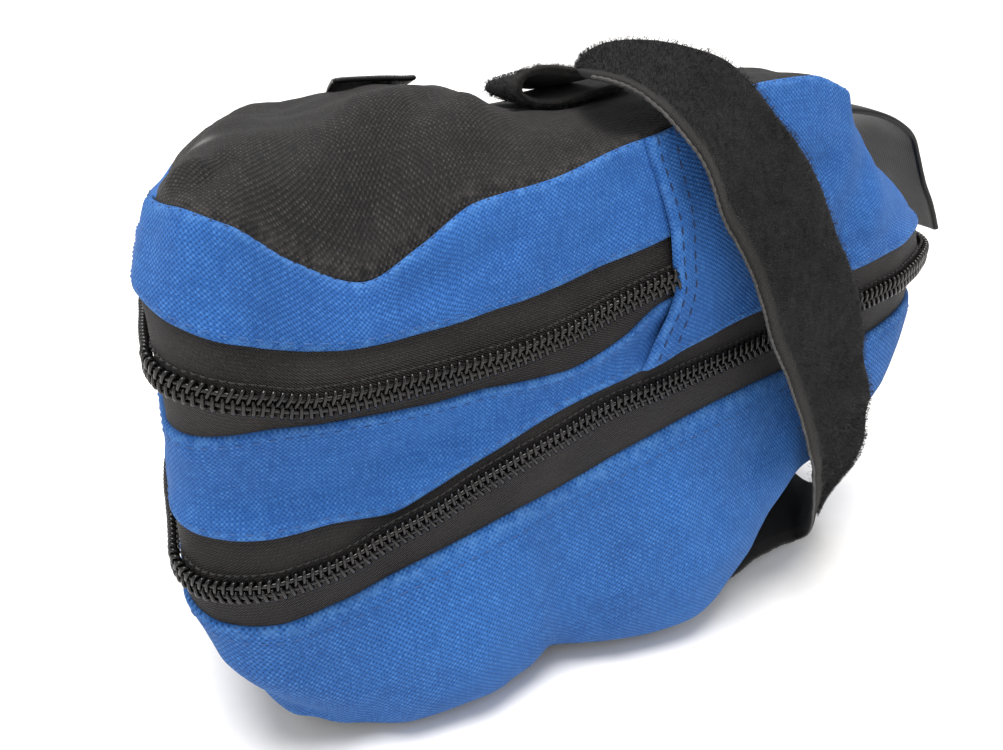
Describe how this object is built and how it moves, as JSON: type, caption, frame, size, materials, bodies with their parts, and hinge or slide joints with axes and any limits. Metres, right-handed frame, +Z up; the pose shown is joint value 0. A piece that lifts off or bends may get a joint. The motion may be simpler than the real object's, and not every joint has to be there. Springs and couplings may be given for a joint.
{
  "type": "bicycle saddle bag",
  "caption": "Soft wedge-shaped saddle bag of blue and black cloth, closed with coil zips, with a wide loop-pile strap round its front half, lying on its base.",
  "frame": {"origin": "centre of the bounding box in plan, on the surface the bag lies on", "axes": "+X from the wide rear end to the narrow front end, +Z up from the base, -Y out of the side that the picture shows"},
  "size_m": [0.202, 0.0988, 0.1337],
  "materials": {
    "blue_cloth": "matte woven nylon",
    "black_cloth": "matte woven nylon",
    "zip_tape": "matte woven tape",
    "zip_coil": "satin nylon coil",
    "loop_pile": "fuzzy loop pile",
    "webbing": "smooth woven strap",
    "dark_metal": "satin black"
  },
  "bodies": {
    "root": {"top_panel": "black_cloth", "upper_band": "blue_cloth", "upper_zip_tape_upper": "zip_tape", "upper_zip_tape_lower": "zip_tape", "upper_zip_coil": "zip_coil", "upper_zip_slider": "dark_metal", "middle_band": "blue_cloth", "front_side_panel": "blue_cloth", "lower_zip_tape_upper": "zip_tape", "lower_zip_tape_lower": "zip_tape", "lower_zip_coil": "zip_coil", "lower_zip_slider": "dark_metal", "lower_shell": "blue_cloth", "base_panel": "black_cloth", "wrap_strap": "loop_pile", "top_strap_loop": "loop_pile", "far_top_strap": "webbing", "front_strap": "webbing"}
  },
  "joints": []
}
